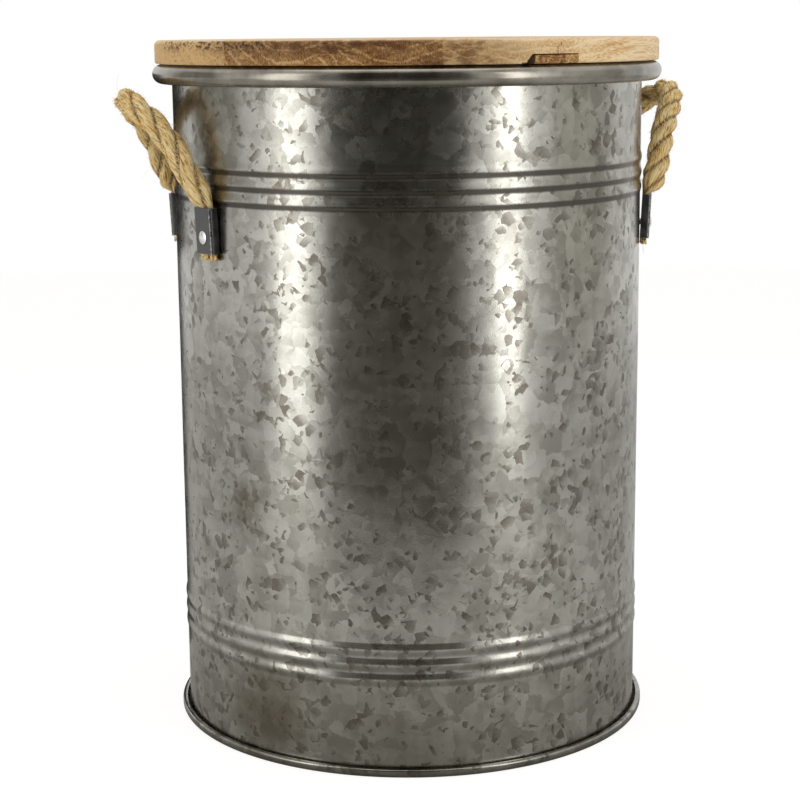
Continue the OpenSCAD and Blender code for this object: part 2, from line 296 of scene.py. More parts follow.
def softbox(name, place, size, radiance, aim):
    """An area lamp that shines on aim and shows in reflections at that radiance."""
    lamp = bpy.data.lights.new(name, "AREA")
    lamp.shape = "RECTANGLE"
    lamp.size, lamp.size_y = size
    lamp.energy = radiance * math.pi * size[0] * size[1]
    box = bpy.data.objects.new(name, lamp)
    turn = (Vector(aim) - Vector(place)).to_track_quat("-Z", "Y").to_matrix().to_4x4()
    box.matrix_world = to_photographer @ Matrix.Translation(place) @ turn
    box.visible_camera = False
    bpy.context.scene.collection.objects.link(box)


for name, (azimuth, distance, height, width, tall, radiance) in SOFTBOXES.items():
    turn = math.radians(azimuth)
    place = (distance * math.sin(turn), -distance * math.cos(turn), height)
    softbox(name, place, (width, tall), radiance, (0, 0, height))
x, y, height, width, deep, radiance = TOP_SOFTBOX
softbox("top_softbox", (x, y, height), (width, deep), radiance, (0, 0, 0))

world = bpy.data.worlds.new("white_studio")
bpy.context.scene.world = world
world.use_nodes = True
sky = world.node_tree
level = scaled(background_rays(sky), 0, 1, SKY_FILL, SKY_SEEN)
plug(sky.nodes["Background"], {"Color": "#ffffff", "Strength": level})

# The rope handles
# Each is a short length of coarse natural fibre rope, three strands laid right-handed, and it stands up as a
# stiff loop. Its ends are pressed flat in the clamps and fray where they are cut, just under them.
ROPE_D = 0.015
# Half the width of a handle, its height above the hinge line in its own leaning plane, and its sag out of
# that plane towards the bucket
HANDLE_ROUTE = [
    (0.0606, 0, 0), (0.0582, 0.007, 0.0008), (0.054, 0.015, 0.0022), (0.0487, 0.024, 0.0037),
    (0.0432, 0.032, 0.0044), (0.0372, 0.040, 0.0042), (0.031, 0.047, 0.0034), (0.0245, 0.053, 0.0024),
    (0.0177, 0.058, 0.0013), (0.010, 0.062, 0.0004), (0, 0.0638, 0)]
HINGE_X, HINGE_Z = 0.14667, 0.348
# Near the clamps the rope hugs the wall closer than its route does
HUG, HUG_UP = 0.0010, 0.030
WALL_TOUCH = 0.1511
# Each side: sign of X, lean of the loop, length in which a strand goes once round
HANDLES = {"left": (-1, 31.5, 0.074), "right": (1, 31, 0.0495)}
# The rope bends over this height above the clamps when a handle swings, and over the second one its flat side
# turns from the clamps' lean to the loop's
BEND_H, TURN_H = 0.017, 0.020
CLAMP_AZIMUTH = math.radians(22.45)
WALL_R = 0.150
RIVET_Z = 0.3221
CLAMP_LEAN = math.radians(2.7)
CLAMP_TOP_Z = 0.3401
# Height above or below the rivet, and distance from the wall, of the middle of the pressed rope
PRESSED_LINE = [(-0.0135, 0.00227), (-0.010, 0.00243), (0, 0.0029), (0.010, 0.00338), (0.018, 0.00375)]
PRESSED_DEEP, PRESSED_WIDE = 0.0043, 0.0148
STATION_STEP = 0.0006
STRAND_COLUMNS = 40
STRAND_OUT, STRAND_R = 0.0029, 0.0046
YARN_W, YARN_DEEP = 0.0015, 0.00070
STRAND_LUMPS = 0.00055
# How many broken fibres stand out of a loop, and how many yarn ends and hairs out of each cut end
FIBRES, LONG_FIBRES, YARN_ENDS, HAIRS = 1300, 22, 32, 2
# Height above the clamps from which fibres stand out
FIBRES_UP = 0.004
# How deep a fibre's root and a yarn's end start inside the rope
ROOTED, ENDS_ROOTED = 0.0003, 0.003
# The shortest and the longest of each
FIBRE_LENGTHS, LONG_FIBRE_LENGTHS = (0.0012, 0.0042), (0.008, 0.018)
YARN_END_LENGTHS, HAIR_LENGTHS = (0.0028, 0.0038), (0.006, 0.011)
FIBRE_R, HAIR_STEPS = 0.00007, 8
# How thick each one is from root to tip, as multiples of that radius
FIBRE_TAPER = (1, 1, 1, 0.95, 0.9, 0.8, 0.7, 0.55, 0.3)
HAIR_TAPER = (1.2, 1.2, 1.1, 1, 0.9, 0.8, 0.7, 0.5, 0.3)
# A yarn's end is so many times as thick, and tapers at these shares of its length
YARN_END_THICK, YARN_END_TAPER = (5, 9), {0: 1, 0.5: 1, 0.8: 1, 0.95: 0.75, 1: 0.25}
# Half the width over which the yarns' ends spread, as a share of the pressed rope's width
YARN_ENDS_SPREAD = 0.58

STRAW_DARK, STRAW_MID, STRAW_LIGHT = "#b58236", "#f5ca7f", "#ffedb8"
STRAW_RED, STRAW_GROOVE, STRAW_END = "#a8602a", "#5a350a", "#e6bc70"


def smooth_line(points, step):
    """Points a step apart on a smooth line through the given ones."""
    ends = [points[0] * 2 - points[1], *points, points[-1] * 2 - points[-2]]
    fine = [points[0]]
    for a, b, c, d in zip(ends, ends[1:], ends[2:], ends[3:]):
        for i in range(1, 25):
            t = i / 24
            curve = (c - a) * t + (a * 2 - b * 5 + c * 4 - d) * t ** 2 + (b * 3 - a - c * 3 + d) * t ** 3
            fine.append(b + curve / 2)
    evenly, gone = [fine[0]], 0.0
    for a, b in zip(fine, fine[1:]):
        reach = (b - a).length
        while gone + reach >= step:
            a = a + (b - a) * ((step - gone) / reach)
            evenly.append(a)
            gone, reach = 0.0, (b - a).length
        gone += reach
    return evenly


def smooth_step(value, low, high):
    """0 below low, 1 above high, and smooth between them."""
    t = min(max((value - low) / (high - low), 0), 1)
    return t * t * (3 - 2 * t)


def handle_stations(side):
    """Where the rope runs: its middle, its direction, and the way its flat side faces."""
    sign, lean, _ = HANDLES[side]
    slope = math.radians(lean)
    cos, sin = math.cos(CLAMP_AZIMUTH), math.sin(CLAMP_AZIMUTH)
    half = [Vector((sign * (WALL_R + out) * cos, -(WALL_R + out) * sin, RIVET_Z + up))
            for up, out in PRESSED_LINE]
    for wide, up, sag in HANDLE_ROUTE:
        out = HINGE_X + up * math.sin(slope) - sag * math.cos(slope)
        hug = 1 - HUG * max(1 - up / HUG_UP, 0) ** 2 / math.hypot(out, wide)
        height = HINGE_Z + up * math.cos(slope) + sag * math.sin(slope)
        half.append(Vector((sign * out * hug, -wide * hug, height)))
    line = smooth_line(half + [p * Vector((1, -1, 1)) for p in half[-2::-1]], STATION_STEP)
    stations = []
    for i, middle in enumerate(line):
        ahead = (line[min(i + 1, len(line) - 1)] - line[max(i - 1, 0)]).normalized()
        in_clamp = Vector((sign * cos, math.copysign(sin, middle.y), -math.sin(CLAMP_LEAN)))
        in_loop = Vector((sign * math.cos(slope), 0, -math.sin(slope)))
        face = in_clamp.lerp(in_loop, smooth_step(middle.z, CLAMP_TOP_Z, CLAMP_TOP_Z + TURN_H))
        face = (face - ahead * face.dot(ahead)).normalized()
        stations.append((middle, ahead, face))
    return stations


def lumpy(*place):
    """Smooth noise between about -1 and 1, with its features about one unit apart."""
    return noise.noise(Vector(place))


def rope_surface(side, stations, i, column):
    """A point of the rope's surface, its yarn coordinate, and how deep it lies between the strands."""
    middle, ahead, face = stations[i]
    lay = HANDLES[side][2]
    along = i * STATION_STEP
    strand = column // STRAND_COLUMNS
    off = (column % STRAND_COLUMNS / STRAND_COLUMNS - 0.5) * math.tau / 3
    turn = math.tau * (along / lay + (strand + 0.5) / 3) + off
    # Each strand wavers a little, and so does each yarn below; the factors say how often along and across it
    turn += 0.10 * lumpy(along * 55, strand * 11, len(side))
    out = STRAND_OUT * math.cos(off) + math.sqrt(STRAND_R ** 2 - (STRAND_OUT * math.sin(off)) ** 2)
    round_strand = math.atan2(out * math.sin(off), out * math.cos(off) - STRAND_OUT)
    yarn = STRAND_R * (round_strand + math.tau * along / lay * (STRAND_OUT + STRAND_R) / STRAND_R)
    hollow = 1 - (out - STRAND_OUT / 2) / (STRAND_OUT / 2 + STRAND_R)
    drift = 0.35 * lumpy(yarn / YARN_W * 0.6, along * 90, strand * 7 + len(side))
    ridge = abs(math.cos(math.pi * (yarn / YARN_W + drift))) ** 0.7 - 0.6
    out += YARN_DEEP * ridge * (1 + 0.5 * lumpy(along * 70, strand * 3, yarn * 200))
    out += STRAND_LUMPS * lumpy(along * 120, yarn * 300, strand * 5 + len(side))
    out += 0.5 * STRAND_LUMPS * lumpy(along * 420, yarn * 900, strand * 9)
    pressed = 1 - smooth_step(middle.z, CLAMP_TOP_Z - 0.001, HINGE_Z + 0.001)
    deep = 1 + pressed * (PRESSED_DEEP / ROPE_D - 1)
    wide = 1 + pressed * (PRESSED_WIDE / ROPE_D - 1)
    point = middle + face * (out * deep * math.cos(turn)) + ahead.cross(face) * (out * wide * math.sin(turn))
    reach = math.hypot(point.x, point.y)
    if point.z > CLAMP_TOP_Z and reach < WALL_TOUCH:
        point = Vector((point.x * WALL_TOUCH / reach, point.y * WALL_TOUCH / reach, point.z))
    return point, yarn + strand * 0.5, hollow


def rope_mesh(side, stations):
    """The laid rope, closed at both cut ends."""
    columns = 3 * STRAND_COLUMNS
    bm = bmesh.new()
    hollow_layer = bm.verts.layers.float.new("hollow")
    grid, yarns = [], []
    for i in range(len(stations)):
        row, across = [], []
        for column in range(columns):
            point, yarn, hollow = rope_surface(side, stations, i, column)
            vert = bm.verts.new(point)
            vert[hollow_layer] = hollow
            row.append(vert)
            across.append(yarn)
        grid.append(row)
        yarns.append(across)
    uv = bm.loops.layers.uv.new("yarns")
    for i, (row, above) in enumerate(zip(grid, grid[1:])):
        for j in range(columns):
            k = (j + 1) % columns
            face = bm.faces.new((row[j], row[k], above[k], above[j]))
            face.smooth = True
            step = yarns[i][1] - yarns[i][0]
            for loop, (n, m) in zip(face.loops, ((i, j), (i, k), (i + 1, k), (i + 1, j))):
                last = j % STRAND_COLUMNS == STRAND_COLUMNS - 1 and m == k
                across = yarns[n][j] + step if last else yarns[n][m]
                loop[uv].uv = (across * 10, n * STATION_STEP * 10)
    for row in (grid[0][::-1], grid[-1]):
        bm.faces.new(row)
    return bm


def curling(point, heading, curl, reach):
    """Points along a hair that curls as it goes."""
    points = [point]
    for _ in range(HAIR_STEPS):
        heading = (heading + curl).normalized()
        points.append(points[-1] + heading * reach / HAIR_STEPS)
    return points


def loose_fibres(side, stations, draw):
    """Broken fibres that stand out of the rope, and the cut ends of its yarns under the clamps."""
    curve = bpy.data.curves.new("fibres", "CURVE")
    curve.dimensions = "3D"
    curve.bevel_depth = FIBRE_R
    curve.bevel_resolution = 0

    def spline(points, radii):
        line = curve.splines.new("POLY")
        line.points.add(len(points) - 1)
        for target, point, radius in zip(line.points, points, radii):
            target.co = (*point, 1)
            target.radius = radius

    low = next(i for i, station in enumerate(stations) if station[0].z > CLAMP_TOP_Z + FIBRES_UP)
    for n in range(FIBRES + LONG_FIBRES):
        i = draw.randint(low, len(stations) - 1 - low)
        point, _, _ = rope_surface(side, stations, i, draw.randrange(3 * STRAND_COLUMNS))
        middle, ahead, _ = stations[i]
        out = (point - middle).normalized()
        long = n >= FIBRES
        # It lies along the rope one way or the other, stands out a little, and curls
        heading = (ahead * draw.choice((-1, 1)) * draw.uniform(0.5, 1.4)
                   + out * draw.uniform(0.15, 0.9)).normalized()
        curl = Vector([draw.uniform(-1, 1) for _ in range(3)]) * draw.uniform(0.1, 0.55)
        curl *= 0.6 if long else 0.3
        reach = draw.uniform(*(LONG_FIBRE_LENGTHS if long else FIBRE_LENGTHS))
        spline(curling(point - out * ROOTED, heading, curl, reach), FIBRE_TAPER)
    for end in (0, -1):
        middle, ahead, face = stations[end]
        across = ahead.cross(face)
        down = ahead if end else -ahead
        for n in range(YARN_ENDS):
            wide = ((n + 0.5) / YARN_ENDS * 2 - 1) * PRESSED_WIDE * YARN_ENDS_SPREAD
            deep = draw.uniform(-0.3, 0.4) * PRESSED_DEEP
            base = middle + across * wide + face * deep - down * ENDS_ROOTED
            splay = across * (wide * 10 + draw.uniform(-0.2, 0.2)) + face * draw.uniform(-0.1, 0.2)
            reach = draw.uniform(*YARN_END_LENGTHS)
            thick = draw.uniform(*YARN_END_THICK)
            points = [base + (down + splay * t) * reach * t for t in YARN_END_TAPER]
            spline(points, [thick * share for share in YARN_END_TAPER.values()])
        for _ in range(HAIRS):
            point = middle + across * draw.uniform(-0.3, 0.3) * PRESSED_WIDE
            curl = (across * draw.uniform(-0.25, 0.25) + face * draw.uniform(0, 0.1)) * 0.4
            spline(curling(point, down, curl, draw.uniform(*HAIR_LENGTHS)), HAIR_TAPER)
    made = bpy.data.objects.new("fibres", curve)
    mesh = bpy.data.meshes.new_from_object(made)
    bpy.data.objects.remove(made)
    bm = bmesh.new()
    bm.from_mesh(mesh)
    bpy.data.meshes.remove(mesh)
    return bm


def scatter(where, size, detail=2, rough=0.5):
    """Noise whose features are about that size, as a number and as a colour."""
    return add_node(tree_of(where), "TexNoise", {}, {
        "Vector": where, "Scale": 1 / size, "Detail": detail, "Roughness": rough}).outputs


def marked(tree, name):
    """What the mesh itself says at each point, as a vector and as a number."""
    return add_node(tree, "Attribute", {"attribute_name": name}).outputs


def emboss(shader, height, strength, deep):
    """Lets a height show as relief."""
    relief = add_node(shader.id_data, "Bump", {}, {"Height": height, "Strength": strength, "Distance": deep})
    plug(shader, {"Normal": relief.outputs["Normal"]})


def straw_rope():
    """Coarse jute rope: matt straw-coloured fibres along each yarn, and broken brown shadows between them."""
    material, tree, shader = new_material("laid_jute_rope", {
        "Roughness": 0.88, "Specular IOR Level": 0.2, "Sheen Weight": 0.05, "Sheen Roughness": 0.5})
    uv = add_node(tree, "UVMap", {"uv_map": "yarns"}).outputs["UV"]
    hollow = marked(tree, "hollow")["Fac"]

    def streaks(across, along, detail):
        # The UV map counts in tenths of a metre, so a size in millimetres is 100 over its count
        size = add_node(tree, "Mapping", {}, {"Vector": uv, "Scale": (100 / across, 100 / along, 1)})
        return scatter(size.outputs["Vector"], 1, detail, 0.6)["Fac"]

    yarn, fibre = streaks(1.5, 16, 1), streaks(0.65, 6.5, 4)
    fleck, pit = streaks(0.9, 3.6, 2), streaks(1.1, 2.6, 2)
    gap = between(streaks(0.7, 8.0, 2), 0.36, 0.43, 0.62, 0.0)
    tone = plus(product(yarn, 0.45), fibre, 0.75)
    straw = ramp(tone, (0.45, STRAW_DARK), (0.56, STRAW_MID), (0.67, STRAW_LIGHT))
    straw = mixed(between(fleck, 0.64, 0.72, 0, 0.8), straw, STRAW_RED)
    groove = product(between(hollow, 0.15, 0.32), between(pit, 0.35, 0.62, 0.15, 0.9))
    hole = product(between(pit, 0.64, 0.70), between(hollow, 0.02, 0.16, 0.35, 0.9))
    straw = mixed(maths("MAXIMUM", gap, maths("MAXIMUM", groove, hole)), straw, STRAW_GROOVE)
    plug(shader, {"Base Color": straw})
    emboss(shader, fibre, 1.0, 0.0009)
    return material


def straw_fibre():
    """Single jute fibres, and the cut yarn ends under the clamps, which are still golden."""
    material, tree, shader = new_material("loose_jute_fibre", {"Roughness": 0.8, "Specular IOR Level": 0.25})
    place = object_place(tree)
    patch = scatter(place, 0.0015)["Fac"]
    straw = ramp(patch, (0.35, STRAW_DARK), (0.5, STRAW_MID), (0.66, STRAW_LIGHT))
    gold = ramp(patch, (0.40, STRAW_GROOVE), (0.49, STRAW_END), (0.62, STRAW_LIGHT))
    plug(shader, {"Base Color": mixed(maths("LESS_THAN", part_of(place, 2), RIVET_Z), straw, gold)})
    return material


rope_fibre, loose_fibre = straw_rope(), straw_fibre()
for side in HANDLES:
    stations = handle_stations(side)
    rope = mesh_object(rope_mesh(side, stations), f"laid_rope_{side}", rope_fibre)
    fray = mesh_object(loose_fibres(side, stations, random.Random(side)), f"loose_fibres_{side}", loose_fibre)
    for piece in (rope, fray):
        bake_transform(piece)
    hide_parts(f"rope_handle_{side}", f"rope_ends_{side}")

# The wall
# One sheet of hot-dip galvanised steel, rolled to a cylinder with two bands of three swaged rings. It is
# lock-seamed down the back and flanged out at its foot. Its zinc froze in pale plates with small dull flakes.
SHEET = 0.0008
WALL_TOP_Z = 0.4231
HEM_H = 0.005
FLANGE_R, FLANGE_Z = 0.1542, 0.0009
FLANGE_BEND = 0.0016
BAND_TOPS = (0.3687, 0.0835)
RINGS, RING_STEPS = 3, 16
RING_H, RING_RISE = 0.0094, 0.0008
SEAM_W, SEAM_RISE = 0.008, 0.0007
SEAM_FOOT_Z, SEAM_TOP_Z = 0.0075, 0.4110
SHEET_WAVE, SHEET_WAVE_SIZE = 0.00016, 0.07
TURNS = 300

# How much painted shade lies under the rings of the upper band, and of the lower one
RING_SHADE = (0.93, 0.22)
# Brown stains, the last of them a broad darkening along the front of the foot: where each one lies, its size
# and its strength
STAINS_AND_FOOT_DARKENING = (((-0.117, -0.094, 0.030), 0.034, 0.75), ((-0.127, -0.080, 0.160), 0.016, 0.5),
          ((-0.045, -0.143, 0.010), 0.060, 0.35))
# The size of the ripples in the stains' borders, and how far they wander
STAIN_RIPPLE, STAIN_WANDER = 0.014, 0.03

ZINC_PALE, ZINC_MID, ZINC_GREY = "#aeada5", "#a2a098", "#8f8d85"
# The third colour on the next line is painted shade under the rings, and it also makes the hem darker
FLAKE_GREY, FLAKE_BROWN, DARKENING_BROWN, STAIN_BROWN = "#6c675f", "#5f584c", "#56524c", "#625949"
# The plates, the scales on them, and the flakes: the size of each, then the size and the reach of the ripples
# in its border
PLATE, SCALE = (0.016, 0.006, 0.008), (0.0080, 0.003, 0.004)
BIG_FLAKE, SMALL_FLAKE = (0.0066, 0.0040, 0.0024), (0.0036, 0.0022, 0.0014)
# Sizes of the frosting on the plates, of the flakes' crowds, of the grit in the flakes, and of the roughness
FROST, CROWD, GRIT, ROUGH = 0.0009, 0.030, 0.0007, 0.0011


def band_line(top):
    """The outside of one band of rings, downwards: round waves side by side."""
    turns = [i / RING_STEPS for i in range(RINGS * RING_STEPS + 1)]
    return [(WALL_R + RING_RISE * (1 - math.cos(math.tau * turn)) / 2, top - RING_H * turn) for turn in turns]


def straight(top, bottom, step=0.012):
    """Heights between two bands, about a step apart."""
    count = max(round((top - bottom) / step), 2)
    return [(WALL_R, top + (bottom - top) * i / count) for i in range(1, count)]


def bend(x, z, radius, start, end, steps):
    """Points of an arc in the section, counted in degrees from the outward direction."""
    turns = [math.radians(start + (end - start) * i / steps) for i in range(steps + 1)]
    return [(x + radius * math.cos(turn), z + radius * math.sin(turn)) for turn in turns]


def wall_line():
    """The outer face of the wall in section, from its top edge down to where its flange bends out."""
    upper, lower = band_line(BAND_TOPS[0]), band_line(BAND_TOPS[1])
    foot = FLANGE_Z + SHEET + FLANGE_BEND
    return ([(WALL_R, WALL_TOP_Z)] + straight(WALL_TOP_Z, upper[0][1]) + upper
            + straight(upper[-1][1], lower[0][1]) + lower + straight(lower[-1][1], foot))


def spun(section, turns=TURNS, closed=True, angle=math.tau):
    """A solid turned from a section in the XZ plane about the Z axis."""
    bm = bmesh.new()
    verts = [bm.verts.new((r, 0, z)) for r, z in section]
    pairs = list(zip(verts, verts[1:])) + ([(verts[-1], verts[0])] if closed else [])
    edges = [bm.edges.new(pair) for pair in pairs]
    full = angle == math.tau
    bmesh.ops.spin(bm, geom=verts + edges, cent=(0, 0, 0), axis=(0, 0, 1), angle=angle, steps=turns,
                   use_merge=full)
    bmesh.ops.remove_doubles(bm, verts=bm.verts, dist=1e-6)
    bmesh.ops.recalc_face_normals(bm, faces=bm.faces)
    return bm


def soften(bm, sharpest=40):
    """Smooth shading, apart from edges that turn by more than that many degrees."""
    for face in bm.faces:
        face.smooth = True
    for edge in bm.edges:
        if len(edge.link_faces) == 2 and edge.calc_face_angle(0) > math.radians(sharpest):
            edge.smooth = False


def wave(bm):
    """The slight waviness of thin rolled sheet."""
    for vert in bm.verts:
        out = Vector((vert.co.x, vert.co.y, 0)).normalized()
        vert.co += out * SHEET_WAVE * noise.noise(vert.co / SHEET_WAVE_SIZE)


def paint_ring_shade(bm):
    """Marks the undersides of the rings for painted shade, in a layer that the zinc reads."""
    layer = bm.verts.layers.float.new("darkening")
    for vert in bm.verts:
        for top, strength in zip(BAND_TOPS, RING_SHADE):
            turns = (top - vert.co.z) / RING_H
            if 0 < turns < RINGS:
                vert[layer] = strength * smooth_step(-math.sin(math.tau * turns), 0.1, 0.75)


def zinc():
    """Hot-dip zinc: satin pale plates like fish scales, with dull brown-grey flakes among them."""
    material, tree, shader = new_material("hot_dip_zinc", {"Metallic": 1.0})
    place = object_place(tree)

    def wander(size, detail, reach):
        """The place, moved about by noise of that size."""
        return vector("MULTIPLY_ADD", scatter(place, size, detail)["Color"], (reach, reach, reach), place)[0]

    def cells(size, ripple, reach):
        """Random cells whose borders wander: three random numbers, and how each one slopes across itself."""
        where = wander(ripple, 3, reach)
        cell = add_node(tree, "TexVoronoi", {}, {"Vector": where, "Scale": 1 / size}).outputs
        three = add_node(tree, "SeparateColor", {}, {0: cell["Color"]}).outputs
        lean = vector("DOT_PRODUCT", vector("SUBTRACT", where, cell["Position"])[0],
                      vector("SUBTRACT", cell["Color"], (0.5, 0.5, 0.5))[0])["Value"]
        return three[0], three[1], three[2], maths("DIVIDE", lean, size)

    def flakes(size, ripple, reach, share):
        """Flakes of one size: how strong each is, where it was picked and no plate's edge has cut it."""
        first, second, third, lean = cells(size, ripple, reach)
        cut, _, _, _ = cells(size * 1.2, ripple, reach)
        picked = product(maths("LESS_THAN", first, share), maths("GREATER_THAN", cut, 0.30))
        strength = plus(scaled(second, 0, 1, 0.45, 1.0), lean, 1.6)
        return product(picked, scaled(strength, 0.15, 1.0, 0.15, 1.0)), third

    plate_a, plate_b, _, plate_lean = cells(*PLATE)
    scale_a, scale_b, _, scale_lean = cells(*SCALE)
    tone = plus(plus(0.32, plate_a, 0.35), plate_lean, 1.3)
    tone = plus(plus(tone, scale_a, 0.18), scale_lean, 0.7)
    tone = plus(maths("SUBTRACT", tone, 0.22), scatter(place, FROST)["Fac"], 0.3)
    base = ramp(tone, (0.10, ZINC_GREY), (0.50, ZINC_MID), (0.90, ZINC_PALE))

    crowd = scaled(scatter(place, CROWD)["Fac"], 0.38, 0.62, 0.05, 0.40)
    big, tint = flakes(*BIG_FLAKE, crowd)
    small, _ = flakes(*SMALL_FLAKE, product(crowd, 0.45))
    grit = scaled(scatter(place, GRIT)["Fac"], 0.35, 0.65, 0.72, 1.0)
    flake = product(maths("MAXIMUM", big, small), grit)
    base = mixed(flake, base, mixed(tint, FLAKE_GREY, FLAKE_BROWN))

    stained = 0.0
    where = wander(STAIN_RIPPLE, 4, STAIN_WANDER)
    for middle, size, strength in STAINS_AND_FOOT_DARKENING:
        away = vector("DISTANCE", where, [c + STAIN_WANDER / 2 for c in middle])["Value"]
        stained = maths("MAXIMUM", scaled(away, size * 1.3, size * 0.3, 0.0, strength), stained)
    # Painted shade under the rings, and the darker hem, from the layer that the mesh carries
    base = mixed(marked(tree, "darkening")["Fac"], mixed(stained, base, STAIN_BROWN), DARKENING_BROWN)
    rough = plus(plus(0.20, scale_b, 0.04), plate_b, 0.05)
    plug(shader, {"Base Color": base, "Roughness": plus(rough, flake, 0.10)})
    emboss(shader, plus(scatter(place, ROUGH, 3)["Fac"], flake, -0.6), 0.12, 0.0002)
    return material


zinc_sheet = zinc()
outer = wall_line()
bend_z = FLANGE_Z + SHEET + FLANGE_BEND
section = (outer + bend(WALL_R + FLANGE_BEND, bend_z, FLANGE_BEND, 180, 270, 5)
           + [(FLANGE_R, FLANGE_Z + SHEET), (FLANGE_R, FLANGE_Z)]
           + bend(WALL_R + FLANGE_BEND, bend_z, FLANGE_BEND + SHEET, 270, 180, 5)
           + [(r - SHEET, z) for r, z in outer[::-1]])
bm = spun(section)
paint_ring_shade(bm)
wave(bm)
soften(bm)
wall = mesh_object(bm, "rolled_wall", zinc_sheet)
seam_half = math.asin(SEAM_W / 2 / WALL_R)
fold = [(r + SEAM_RISE, z) for r, z in outer if SEAM_FOOT_Z < z < SEAM_TOP_Z]
section = fold + [(r - SEAM_RISE * 1.5, z) for r, z in fold[::-1]]
bm = spun(section, 8, True, 2 * seam_half)
paint_ring_shade(bm)
move(bm, Matrix.Rotation(math.pi / 2 - seam_half, 4, "Z"))
wave(bm)
soften(bm)
seam = mesh_object(bm, "lock_seam", zinc_sheet)
for piece in (wall, seam):
    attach(piece, "bucket")
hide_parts("body_shell")

# The bottom
# A pressed pan of the same galvanised sheet. It stands down inside the wall and is folded round the wall's
# flange in a hem, which is all of it that shows from outside.
PANEL_Z, PAN_R = 0.009, 0.1491
HEM_R, HEM_LIP, HEM_BEND = 0.1551, 0.0032, 0.0013
PAN_BEND, FOLD_BEND = 0.0018, 0.001
# The raised panel is meshed in rings of these radii
PANEL_RINGS = (0, 0.05, 0.10, 0.13)
# How much darker the upper and the lower half of the hem are made
HEM_DARKENING = (0.25, 0.7)

inner = HEM_BEND - SHEET
fold_x = HEM_R - HEM_BEND
section = (
    [(r, PANEL_Z + SHEET) for r in PANEL_RINGS]
    + bend(PAN_R - PAN_BEND, PANEL_Z + SHEET - PAN_BEND, PAN_BEND, 90, 0, 5)
    + [(PAN_R, SHEET)]
    + bend(fold_x, HEM_BEND, inner, -90, 0, 4) + bend(fold_x, HEM_H - HEM_BEND, inner, 0, 90, 4)
    + bend(HEM_R - HEM_LIP + SHEET / 2, HEM_H - SHEET / 2, SHEET / 2, 270, 90, 6)
    + bend(fold_x, HEM_H - HEM_BEND, HEM_BEND, 90, 0, 6) + bend(fold_x, HEM_BEND, HEM_BEND, 0, -90, 6)
    + bend(PAN_R + FOLD_BEND - SHEET, FOLD_BEND, FOLD_BEND, 270, 180, 4)
    + bend(PAN_R - PAN_BEND, PANEL_Z + SHEET - PAN_BEND, PAN_BEND - SHEET, 0, 90, 5)
    + [(r, PANEL_Z) for r in PANEL_RINGS[::-1]])
bm = spun(section, closed=False)
darkening = bm.verts.layers.float.new("darkening")
for vert in bm.verts:
    vert[darkening] = HEM_DARKENING[vert.co.z < HEM_H * 0.55]
soften(bm)
pan = mesh_object(bm, "pressed_bottom", zinc_sheet)
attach(pan, "bucket")
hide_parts("base_pan")

# The rim
# A strip of cold-rolled steel under clear lacquer, rolled into a tube over the wall's top edge, with a leg
# down inside the mouth. It is satin grey and smoother than the zinc.
RIM_TOP_Z, RIM_TUBE_R, RIM_CENTRE_R = 0.424, 0.006, 0.1563
LEG_R, LEG_H, LEG_BEND = 0.1483, 0.011, 0.0012
RIM_DARK, RIM_MID, RIM_PALE = "#77736a", "#89857b", "#9a958b"


def patchy_metal(name, patch_size, detail, stops, rough_dull, rough_pale):
    """Bare metal in patches of two or three tones, from dull to pale, which are polished as differently."""
    material, tree, shader = new_material(name, {"Metallic": 1.0})
    patch = scatter(object_place(tree), patch_size, detail)["Fac"]
    plug(shader, {"Base Color": ramp(patch, *stops),
                  "Roughness": scaled(patch, 0.3, 0.7, rough_dull, rough_pale)})
    return material


rim_steel = patchy_metal("lacquered_rolled_steel", 0.018, 4, (
    (0.35, RIM_DARK), (0.5, RIM_MID), (0.65, RIM_PALE)), 0.20, 0.31)
rim_mid_z = RIM_TOP_Z - RIM_TUBE_R
section = (
    [(LEG_R, RIM_TOP_Z - LEG_H)]
    + bend(LEG_R + LEG_BEND, RIM_TOP_Z - LEG_BEND, LEG_BEND, 180, 90, 4)
    + bend(RIM_CENTRE_R, rim_mid_z, RIM_TUBE_R, 90, -220, 44)
    + bend(RIM_CENTRE_R, rim_mid_z, RIM_TUBE_R - SHEET, -220, 90, 30)
    + bend(LEG_R + LEG_BEND, RIM_TOP_Z - LEG_BEND, LEG_BEND - SHEET, 90, 180, 3)
    + [(LEG_R + SHEET, RIM_TOP_Z - LEG_H)])
bm = spun(section)
soften(bm)
rim = mesh_object(bm, "rolled_rim", rim_steel)
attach(rim, "bucket")
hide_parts("top_rim")

# The clamps
# Four short channels pressed from steel strip and painted black. Each stands over a rope end with its legs
# towards the wall, leaning out a little at the top, and its paint is rubbed through along the bends.
CLAMP_W, CLAMP_H, CLAMP_T = 0.0178, 0.028, 0.0013
CLAMP_GAP, CLAMP_FACE = 0.00057, 0.00647
CLAMP_BEND = 0.0018
WORN_EDGE, CLAMP_EDGE = 0.0007, 0.00025
# How worn the paint is along the cut ends, how far in from them, and how worn it is along the bends
WORN_ENDS, WORN_NEAR, WORN_BENDS = 0.7, 0.0003, 0.65
RIVET_UP = 0.010
CLAMP_SIDES = {"left": -1, "right": 1}
ENDS = {"front": -1, "back": 1}
PAINT_BLACK, PAINT_WORN, PAINT_DUST = "#15171a", "#a09d98", "#34332f"


def rivet_places():
    """Names the four riveted places, each with the matrix that stands a piece there: +X points outwards."""
    for side, sign in CLAMP_SIDES.items():
        for end, way in ENDS.items():
            turn = way * CLAMP_AZIMUTH if sign > 0 else math.pi - way * CLAMP_AZIMUTH
            yield f"{side}_{end}", Matrix.Rotation(turn, 4, "Z") @ Matrix.Translation((WALL_R, 0, RIVET_Z))


def ease(bm, edges, offset):
    """Takes the sharpness off those edges."""
    bmesh.ops.bevel(bm, geom=edges, affect="EDGES", offset=offset, segments=2, profile=0.5, material=-1)


